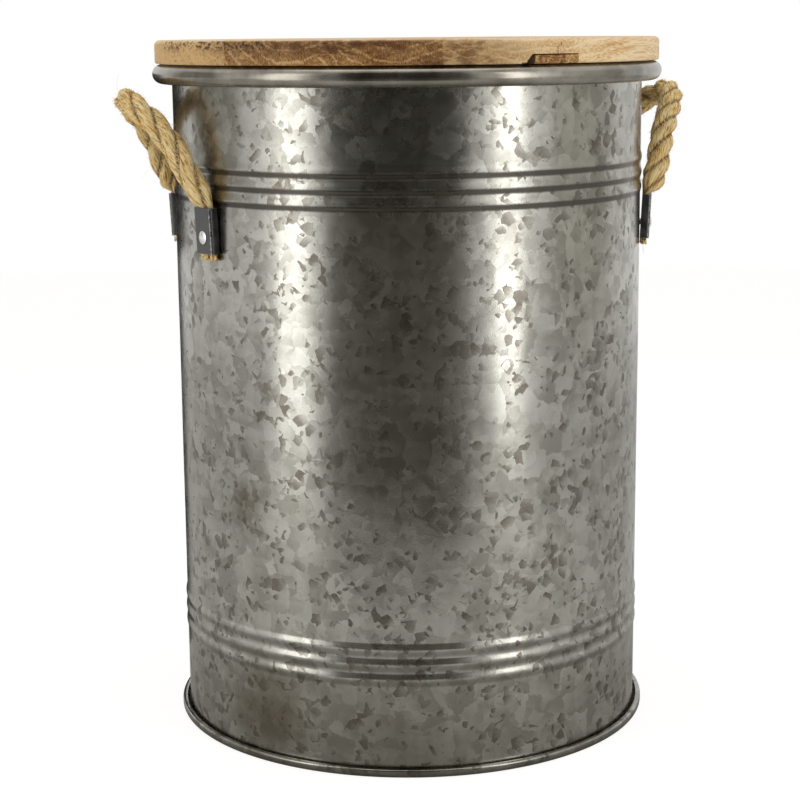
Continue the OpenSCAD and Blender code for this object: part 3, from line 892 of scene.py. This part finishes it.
def channel():
    """A clamp at the origin: the wall is at x = 0 and the rivet at z = 0."""
    half, round_x = CLAMP_W / 2, CLAMP_FACE - CLAMP_BEND
    flat = half - CLAMP_BEND
    one_side = [(CLAMP_FACE, flat - WORN_EDGE), *bend(round_x, flat, CLAMP_BEND, 0, 90, 6),
                (round_x - WORN_EDGE, half), (CLAMP_GAP, half), (CLAMP_GAP, half - CLAMP_T),
                *bend(round_x, flat, CLAMP_BEND - CLAMP_T, 90, 0, 6)]
    outline = one_side + [(x, -y) for x, y in one_side[::-1]]
    bm = bmesh.new()
    face = bm.faces.new([bm.verts.new((x, y, -RIVET_UP)) for x, y in outline])
    made = bmesh.ops.extrude_face_region(bm, geom=[face])["geom"]
    bmesh.ops.translate(bm, vec=(0, 0, CLAMP_H), verts=[g for g in made if isinstance(g, bmesh.types.BMVert)])
    bmesh.ops.recalc_face_normals(bm, faces=bm.faces)
    sharp = [edge for edge in bm.edges if edge.calc_face_angle(0) > math.radians(60)]
    ease(bm, sharp, CLAMP_EDGE)
    for height in (-RIVET_UP + WORN_EDGE, CLAMP_H - RIVET_UP - WORN_EDGE):
        bmesh.ops.bisect_plane(bm, geom=bm.verts[:] + bm.edges[:] + bm.faces[:], plane_co=(0, 0, height),
                               plane_no=(0, 0, 1))
    worn = bm.verts.layers.float.new("worn")
    for vert in bm.verts:
        x, y, z = vert.co
        if min(z + RIVET_UP, CLAMP_H - RIVET_UP - z) < WORN_NEAR:
            vert[worn] = WORN_ENDS
        elif x > round_x + CLAMP_BEND * 0.4 and abs(y) > half - CLAMP_BEND * 0.6:
            vert[worn] = WORN_BENDS
    out = Matrix.Translation((CLAMP_FACE, 0, 0))
    move(bm, out @ Matrix.Rotation(CLAMP_LEAN, 4, "Y") @ out.inverted())
    soften(bm, 50)
    return bm


def black_paint():
    """Thin black stoving paint on steel: satin, dusty in patches and rubbed to bare metal along the bends."""
    material, tree, shader = new_material("black_stoved_paint", {"Specular IOR Level": 0.9})
    place = object_place(tree)
    patch, speck = scatter(place, 0.006, 5)["Fac"], scatter(place, 0.0012, 3)["Fac"]
    rubbed = scaled(plus(speck, marked(tree, "worn")["Fac"], 0.5), 0.78, 0.88)
    base = mixed(rubbed, ramp(patch, (0.38, PAINT_BLACK), (0.66, PAINT_DUST)), PAINT_WORN)
    plug(shader, {"Base Color": base, "Metallic": rubbed, "Roughness": scaled(patch, 0.3, 0.7, 0.26, 0.42)})
    return material


clamp_paint = black_paint()
for name, stand in rivet_places():
    bm = channel()
    move(bm, stand)
    clamp = mesh_object(bm, f"pressed_clamp_{name}", clamp_paint)
    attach(clamp, "bucket")
    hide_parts(f"clamp_{name}")

# The rivets and their washers
# One aluminium rivet holds each clamp and rope end to the wall. Its domed head is outside, and inside the
# bucket it is closed over a flat zinc-plated washer.
HEAD_R, HEAD_H, HEAD_X = 0.004, 0.001, 0.00671
SHANK_R = 0.002
WASHER_BACK = -0.001945
TAIL_R, TAIL_H, TAIL_EDGE = 0.0032, 0.0018, 0.0003
ALUMINIUM, ALUMINIUM_DULL = "#f4f4f2", "#dededa"
PLATING, PLATING_DULL = "#a9a8a2", "#85847e"


def turned_along_x(section, turns=48):
    """A solid turned about the X axis from a section of (distance along X, radius)."""
    bm = spun([(radius, x) for x, radius in section], turns, closed=False)
    move(bm, Matrix.Rotation(math.pi / 2, 4, "Y"))
    soften(bm, 50)
    return bm


rivet_alloy = patchy_metal("set_aluminium", 0.002, 3, (
    (0.38, ALUMINIUM_DULL), (0.62, ALUMINIUM)), 0.5, 0.35)
plated_steel = patchy_metal("bright_zinc_plating", 0.004, 3, (
    (0.38, PLATING_DULL), (0.62, PLATING)), 0.5, 0.3)
dome_r = (HEAD_R ** 2 + HEAD_H ** 2) / 2 / HEAD_H
dome_turn = math.degrees(math.asin(HEAD_R / dome_r))
dome = [(HEAD_X + HEAD_H - dome_r + dome_r * math.cos(math.radians(a)), dome_r * math.sin(math.radians(a)))
        for a in [dome_turn * i / 8 for i in range(9)]]
tail_x = WASHER_BACK - TAIL_H
section = dome + [(HEAD_X, SHANK_R), (WASHER_BACK, SHANK_R), (WASHER_BACK, TAIL_R - TAIL_EDGE),
                  (WASHER_BACK - TAIL_EDGE, TAIL_R), (tail_x + 2 * TAIL_EDGE, TAIL_R),
                  (tail_x, TAIL_R - 3 * TAIL_EDGE), (tail_x, 0)]
for name, stand in rivet_places():
    bm = turned_along_x(section)
    move(bm, stand)
    rivet = mesh_object(bm, f"domed_rivet_{name}", rivet_alloy)
    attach(rivet, "bucket")
    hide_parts(f"rivet_{name}")
    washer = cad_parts[f"washer_{name}"]
    washer.data.materials.clear()
    washer.data.materials.append(plated_steel)

# The lid
# Five brown-stained softwood planks, glued side by side and turned to a disc with a rounded top edge. Two
# grooves are cut across the grain below, and the top edge is scorched in places where end grain shows.
LID_Z, LID_R, LID_T = 0.4245, 0.1605, 0.0144
LID_ROUND, LID_CHAMFER = 0.0033, 0.0008
# The lid's faces are meshed in rings of these radii, and its edge at these heights
LID_RINGS, EDGE_RINGS = (0, 0.05, 0.10), (0.004, 0.0075)
GRAIN_TURN = math.radians(45)
PLANK_W = 0.0642
GROOVE_FROM, GROOVE_TO, GROOVE_DEEP = 0.0605, 0.0895, 0.0055
# A chip is broken off the front groove's edge: its length along the grain, and its two ends across it
CHIP_LONG, CHIP_FROM, CHIP_TO = 0.0048, -0.150, -0.104
JOINT_SOFT = 0.0004
# Each plank, from the front one: where its tree's heart lies across the grain and above the underside, its
# own shade, and how far its grain slopes
PLANKS = ((-0.125, 0.050, 0.72, 0.05), (-0.075, 0.046, 0.20, -0.03), (-0.005, 0.044, 0.25, 0.02),
          (0.022, 0.048, 0.75, -0.02), (0.130, 0.050, 0.90, 0.04))
# The growth rings' distance, the rays in a radian round the heart, and a ray's length
RING_GAP, RAYS, RAY_LONG = 0.0062, 90, 0.0022
# Sizes of the wood's figure along the grain, across it and upwards
WARP, STREAK, CLOUD = (0.060, 0.018, 0.018), (0.022, 0.0008, 0.0008), (0.050, 0.014, 0.010)
BLOTCH, SPOT, SPLINTER = (0.009, 0.007, 0.0022), (0.003, 0.003, 0.0018), (0.5, 0.5, 0.0012)
END_DARK, END_MID, END_PALE = "#5a3b19", "#9a6c39", "#d6b078"
LONG_DARK, LONG_MID, LONG_PALE = "#b08250", "#deb67e", "#fae0b4"
# The black on the next line is for the scorched spots, the crack, and the painted shade in the front groove
SCORCH_AND_SHADE_BLACK, BROWN_STAIN, TOP_CREAM = "#241710", "#502b0a", "#d9bfa2"
# Brown stains on the edge, high up and low down: the direction of the middle, the spread and the strength
STAINS_HIGH = ((-27, 22, 0.90), (-53, 9, 0.60), (-3, 9, 0.70))
STAINS_LOW = ((-8, 12, 0.80), (-50, 8, 0.36), (-27, 6, 0.05))
# Between these heights the low stains give way to the high ones
STAIN_SPLIT = (0.0065, 0.0125)
# Directions between which short spots along the top edge are scorched black, how far beyond them this fades
# out, and the heights over which it sets in
SCORCHED, SCORCH_FADE, SCORCH_UP = (-80, -50), (6, 14), (0.0066, 0.0108)
# Painted shade: the front groove is painted black beside its batten, between these distances along the grain
SHADED_GROOVE_SPAN = (-0.0948, -0.0877)
# The scorch and shade layer says up to 1 for scorched spots, and this for the groove's painted shade
GROOVE_SHADE = 2.0
# A crack climbs from the front groove: where it starts, how far it steps aside, the height of the step, where
# it ends, how ragged it is, and its half width with its soft edge
CRACK_X, CRACK_STEP, CRACK_STEP_Z = -0.0746, 0.0022, (0.0096, 0.0105)
CRACK_END, CRACK_RAGGED, CRACK_HALF = (0.0112, 0.0128), 0.0016, (0.0001, 0.0005)

on_lid = Matrix.Translation((0, 0, LID_Z)) @ Matrix.Rotation(GRAIN_TURN, 4, "Z")


def lid_disc(shrink=0.0):
    """The turned disc, in the lid's own frame: X along the grain, Z up from its underside."""
    r = LID_R - shrink
    section = ([(ring, 0) for ring in LID_RINGS] + [(r - LID_CHAMFER, 0), (r, LID_CHAMFER)]
               + [(r, up) for up in EDGE_RINGS] + bend(r - LID_ROUND, LID_T - LID_ROUND, LID_ROUND, 0, 90, 8)
               + [(ring, LID_T) for ring in LID_RINGS[::-1]])
    return spun(section, 288, closed=False)


def cut_side(bm, place, away):
    """Saws the solid at a plane and closes the cut."""
    cut = bmesh.ops.bisect_plane(bm, geom=bm.verts[:] + bm.edges[:] + bm.faces[:], plane_co=place,
                                 plane_no=away, clear_outer=True)["geom_cut"]
    bmesh.ops.edgenet_fill(bm, edges=[g for g in cut if isinstance(g, bmesh.types.BMEdge)])


def bar(low, high):
    """A straight bar between two corners."""
    bm = bmesh.new()
    bmesh.ops.create_cube(bm, size=1)
    bmesh.ops.scale(bm, vec=Vector(high) - Vector(low), verts=bm.verts)
    move(bm, Matrix.Translation((Vector(high) + Vector(low)) / 2))
    return bm


def carve(piece, cutters):
    """Cuts the cutters' solids out of a piece for good."""
    for cutter in cutters:
        cut = piece.modifiers.new("cut", "BOOLEAN")
        cut.operation, cut.solver, cut.object = "DIFFERENCE", "EXACT", cutter
    bpy.context.view_layer.update()
    ready = piece.evaluated_get(bpy.context.evaluated_depsgraph_get())
    carved = bpy.data.meshes.new_from_object(ready)
    piece.modifiers.clear()
    piece.data = carved


def stained_wood(name, turned=0.0):
    """Softwood: pale growth rings in brown end grain, golden side grain, and a stained and scorched edge."""
    material, tree, shader = new_material(name, {"Specular IOR Level": 0.3})
    coords = add_node(tree, "TexCoord").outputs
    grain_turn = GRAIN_TURN + turned
    place = add_node(tree, "Mapping", {}, {
        "Vector": coords["Object"], "Rotation": (0, 0, -grain_turn), "Location": (0, 0, -LID_Z)}).outputs[0]
    tones = marked(tree, "shade")["Vector"]

    def grain(size, detail=3):
        return scatter(vector("MULTIPLY", place, [1 / s for s in size])[0], 1, detail)

    # Growth rings and rays round the heart
    warped = vector("MULTIPLY_ADD", grain(WARP)["Color"], (0, 0.010, 0.010), place)[0]
    spoke = vector("MULTIPLY", vector("SUBTRACT", warped, marked(tree, "heart")["Vector"])[0], (0, 1, 1))[0]
    reach = vector("LENGTH", spoke)["Value"]
    turn = maths("ARCTAN2", part_of(spoke, 1), part_of(spoke, 2))
    ring = maths("FRACT", maths("DIVIDE", reach, RING_GAP))
    ring_line = product(between(ring, 0.0, 0.10), between(ring, 0.16, 0.34, 1.0, 0.0))
    rays = add_node(tree, "CombineXYZ", {}, {0: product(turn, RAYS), 1: maths("DIVIDE", reach, RAY_LONG)})
    ray = scatter(rays.outputs[0], 1, 3)["Fac"]

    # End grain where the surface faces along the grain, and streaks elsewhere
    along_grain = (math.cos(grain_turn), math.sin(grain_turn), 0)
    facing = vector("DOT_PRODUCT", coords["Normal"], along_grain)["Value"]
    end_grain = between(maths("ABSOLUTE", facing), 0.25, 0.85)
    top = between(part_of(coords["Normal"], 2), 0.75, 0.98)
    streak, cloud = grain(STREAK, 4)["Fac"], grain(CLOUD)["Fac"]
    fleck = maths("ADD", product(ray, end_grain), product(streak, maths("SUBTRACT", 1.0, end_grain)))
    level = plus(product(cloud, 0.5), fleck, 0.95)
    level = plus(level, ring_line, 0.15)
    level = plus(maths("SUBTRACT", level, 0.27), part_of(tones, 0), 0.35)
    golden = ramp(level, (0.35, LONG_DARK), (0.58, LONG_MID), (0.82, LONG_PALE))
    base = mixed(end_grain, golden, ramp(level, (0.34, END_DARK), (0.52, END_MID), (0.74, END_PALE)))

    # Brown stains, stronger or weaker in the upper half of the edge
    high = part_of(place, 2)
    upper = between(plus(high, cloud, 0.008), *STAIN_SPLIT)
    stain = add_node(tree, "Mix", {"data_type": "FLOAT"}, {
        0: upper, 2: part_of(tones, 2), 3: part_of(tones, 1)}).outputs[0]
    blotch = between(grain(BLOTCH, 4)["Fac"], 0.38, 0.60, 0.40, 1.0)
    base = mixed(product(stain, blotch), base, BROWN_STAIN)

    # Scorched spots, the painted shade in the front groove, and the crack
    scorch_and_shade = marked(tree, "scorch_and_shade")["Fac"]
    spots = between(grain(SPOT, 4)["Fac"], 0.47, 0.60)
    spots = product(spots, between(high, *SCORCH_UP), maths("MINIMUM", scorch_and_shade, 1.0))
    step = between(high, *CRACK_STEP_Z, CRACK_X, CRACK_X + CRACK_STEP)
    ragged = maths("SUBTRACT", grain(SPLINTER, 2)["Fac"], 0.5)
    away = maths("SUBTRACT", part_of(place, 0), plus(step, ragged, CRACK_RAGGED))
    crack = product(between(maths("ABSOLUTE", away), *CRACK_HALF, 0.75, 0.0),
                    between(high, *CRACK_END, 1.0, 0.0), maths("LESS_THAN", part_of(place, 1), -0.1))
    scorch_crack_and_shade = maths("MAXIMUM", maths("MAXIMUM", spots, between(scorch_and_shade, GROOVE_SHADE - 0.5, GROOVE_SHADE - 0.1)), crack)
    base = mixed(product(scorch_crack_and_shade, 0.88, maths("SUBTRACT", 1.0, top)), base, SCORCH_AND_SHADE_BLACK)

    # The top is paler and plainer
    plain = plus(product(cloud, 0.4), streak, 0.6)
    plain = plus(plain, part_of(tones, 0), 0.25)
    cream = ramp(plain, (0.45, LONG_MID), (0.75, TOP_CREAM))
    plug(shader, {"Base Color": mixed(top, base, mixed(0.55, golden, cream)),
                  "Roughness": between(fleck, 0.3, 0.7, 0.72, 0.5)})
    emboss(shader, fleck, 0.5, 0.0004)
    return material


def direction(point):
    """The direction in which a point lies from the bucket's axis, in degrees from the front."""
    return math.degrees(math.atan2(point.y, point.x)) + 90


def strongest(stains, turn):
    """How strong the strongest of these stains is in that direction."""
    return max(strength * math.exp(-((turn - middle) / spread) ** 2) for middle, spread, strength in stains)


def grain_marks(piece, heart, shade, stained=1.0):
    """Tells the wood where this piece's heart lies, its tone, its stains and scorch, and where painted shade
    goes.
    """
    marks = {"heart": ("FLOAT_VECTOR", "POINT"), "shade": ("FLOAT_VECTOR", "POINT"),
             "scorch_and_shade": ("FLOAT", "FACE")}
    for name, (kind, domain) in marks.items():
        piece.data.attributes.new(name, kind, domain)
    where, tones, scorch_and_shade_layer = (piece.data.attributes[name] for name in marks)
    to_local = on_lid.inverted()
    for vert in piece.data.vertices:
        local, turn = to_local @ vert.co, direction(vert.co)
        high, low = stained * strongest(STAINS_HIGH, turn), stained * strongest(STAINS_LOW, turn)
        where.data[vert.index].vector = (0, heart[0] + heart[2] * local.x, heart[1])
        tones.data[vert.index].vector = (shade, high, low)
    for face in piece.data.polygons:
        local, out, turn = to_local @ face.center, to_local.to_3x3() @ face.normal, direction(face.center)
        scorch_and_shade = smooth_step(turn, SCORCHED[0] - SCORCH_FADE[0], SCORCHED[0])
        scorch_and_shade *= 1 - smooth_step(turn, SCORCHED[1], SCORCHED[1] + SCORCH_FADE[1])
        # The groove's walls face along the grain, and its floor down from above the lid's underside
        inside = abs(out.x) > 0.7 or (out.z < -0.5 and local.z > 0.0003)
        # Painted shade: the groove's walls and floor beside the front batten are marked to be painted black
        if SHADED_GROOVE_SPAN[0] < local.x < SHADED_GROOVE_SPAN[1] and local.z < GROOVE_DEEP + 0.0001 and inside:
            scorch_and_shade = GROOVE_SHADE
        scorch_and_shade_layer.data[face.index].value = scorch_and_shade


wood, cross_wood = stained_wood("stained_softwood"), stained_wood("stained_softwood_crossways", math.pi / 2)
cutters = []
for way in (-1, 1):
    low, high = sorted((way * GROOVE_FROM, way * GROOVE_TO))
    cutters.append(mesh_object(bar((low, -0.2, -0.01), (high, 0.2, GROOVE_DEEP)), "groove_cutter"))
chip = bar((-GROOVE_TO - CHIP_LONG, CHIP_FROM, -GROOVE_DEEP), (-GROOVE_TO + 0.0001, CHIP_TO, GROOVE_DEEP))
for vert in chip.verts:
    if vert.co.x < -GROOVE_TO - CHIP_LONG / 2:
        if vert.co.z > 0:
            vert.co.z = -GROOVE_DEEP * 0.2
        if vert.co.y > (CHIP_FROM + CHIP_TO) / 2:
            vert.co.x = -GROOVE_TO - 0.0005
cutters.append(mesh_object(chip, "chip_cutter"))
for cutter in cutters:
    cutter.data.transform(on_lid)
for i, (heart_y, heart_z, shade, slope) in enumerate(PLANKS):
    bm = lid_disc()
    low = i * PLANK_W - LID_R
    if i:
        cut_side(bm, (0, low, 0), (0, -1, 0))
    if i < len(PLANKS) - 1:
        cut_side(bm, (0, low + PLANK_W, 0), (0, 1, 0))
    joint = [edge for edge in bm.edges if edge.calc_face_angle(0) > math.radians(70)
             and all(vert.co.z > LID_T - 0.0005 for vert in edge.verts)]
    ease(bm, joint, JOINT_SOFT)
    move(bm, on_lid)
    soften(bm, 35)
    plank = mesh_object(bm, f"lid_board_{i + 1}", wood)
    carve(plank, cutters)
    grain_marks(plank, (heart_y, heart_z, slope), shade)
    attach(plank, "lid")
    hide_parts(f"lid_plank_{i + 1}")
for cutter in cutters:
    bpy.data.objects.remove(cutter)

# The battens and their wedges
# Two wooden bars, let into the grooves across the grain and screwed, which also stand down inside the
# mouth and keep the lid in place. A thin wedge driven in beside each one fills its groove.
BATTEN_NEAR, BATTEN_FAR = 0.0698, 0.0878
BATTEN_DROP, SHOULDER_HALF = 0.008, 0.1172
WEDGE_NEAR, WEDGE_FAR = 0.0606, 0.0697
GROOVE_FIT, GROOVE_GAP = 0.0001, 0.0007
BATTEN_BEVEL = 0.0005
# Where the heart of their wood lies across its grain, and above the underside
BATTEN_HEART = (0.02, -0.03)


def groove_bar(near, far):
    """A bar that fills a groove from near to far and ends flush with the disc."""
    bm = lid_disc(GROOVE_FIT)
    cut_side(bm, (near, 0, 0), (-1, 0, 0))
    cut_side(bm, (far, 0, 0), (1, 0, 0))
    cut_side(bm, (0, 0, GROOVE_DEEP - GROOVE_GAP), (0, 0, 1))
    return bm


def crossways(piece, way):
    """Puts a bar made on the +X side of the lid in its groove, with its grain along the groove."""
    piece.data.transform(on_lid @ Matrix.Rotation(0 if way > 0 else math.pi, 4, "Z"))


for end, way in ENDS.items():
    bm = groove_bar(BATTEN_NEAR, BATTEN_FAR)
    shoulder = bar((BATTEN_NEAR, -SHOULDER_HALF, -BATTEN_DROP), (BATTEN_FAR, SHOULDER_HALF, 0.0002))
    edges = [edge for edge in shoulder.edges if min(vert.co.z for vert in edge.verts) < -BATTEN_DROP / 2]
    ease(shoulder, edges, BATTEN_BEVEL)
    step = bpy.data.meshes.new("shoulder")
    shoulder.to_mesh(step)
    shoulder.free()
    bm.from_mesh(step)
    bpy.data.meshes.remove(step)
    soften(bm, 35)
    batten = mesh_object(bm, f"let_in_batten_{end}", cross_wood)
    wedge_bm = groove_bar(WEDGE_NEAR, WEDGE_FAR)
    soften(wedge_bm, 35)
    wedge = mesh_object(wedge_bm, f"driven_wedge_{end}", cross_wood)
    for piece, slot, node, shade in ((batten, "batten_wood", "lid_batten", 0.0),
                                     (wedge, "wedge_wood", "batten_wedge", 0.35)):
        crossways(piece, way)
        grain_marks(piece, (-way * BATTEN_HEART[0], BATTEN_HEART[1], 0), shade, 0)
        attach(piece, "lid")
        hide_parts(f"{node}_{end}")

# The screws
# Five countersunk steel screws, zinc-plated, hold each batten from below, one into each plank.
SCREW_X = 0.0788
SCREW_ROWS = (-0.1082, -0.0642, 0, 0.0642, 0.1082)
SCREW_HEAD_R, SCREW_R, SCREW_LONG, SCREW_SINK = 0.0035, 0.00175, 0.018, 0.00235
SCREW_EDGE, SCREW_TIP = 0.0002, 0.004
SLOT_LONG, SLOT_WIDE, SLOT_DEEP, SLOT_TURN = 0.0042, 0.0008, 0.0010, 0.4

cross = []
for turn in (0, math.pi / 2):
    arm = bar((-SLOT_LONG / 2, -SLOT_WIDE / 2, -0.001), (SLOT_LONG / 2, SLOT_WIDE / 2, SLOT_DEEP))
    move(arm, Matrix.Rotation(turn + SLOT_TURN, 4, "Z"))
    cross.append(mesh_object(arm, "cross_cutter"))
bm = spun([(0, 0), (SCREW_HEAD_R - SCREW_EDGE, 0), (SCREW_HEAD_R, SCREW_EDGE), (SCREW_R, SCREW_SINK),
           (SCREW_R, SCREW_LONG - SCREW_TIP), (0, SCREW_LONG)], 32, closed=False)
soften(bm, 50)
pattern_screw = mesh_object(bm, "pattern_screw", plated_steel)
carve(pattern_screw, cross)
for end, way in ENDS.items():
    bm = bmesh.new()
    for y in SCREW_ROWS:
        first = len(bm.verts)
        bm.from_mesh(pattern_screw.data)
        bm.verts.ensure_lookup_table()
        bmesh.ops.translate(bm, vec=(SCREW_X, y, -BATTEN_DROP), verts=bm.verts[first:])
    screws = mesh_object(bm, f"countersunk_screws_{end}", plated_steel)
    crossways(screws, way)
    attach(screws, "lid")
    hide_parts(f"batten_screws_{end}")
for piece in (pattern_screw, *cross):
    bpy.data.objects.remove(piece)
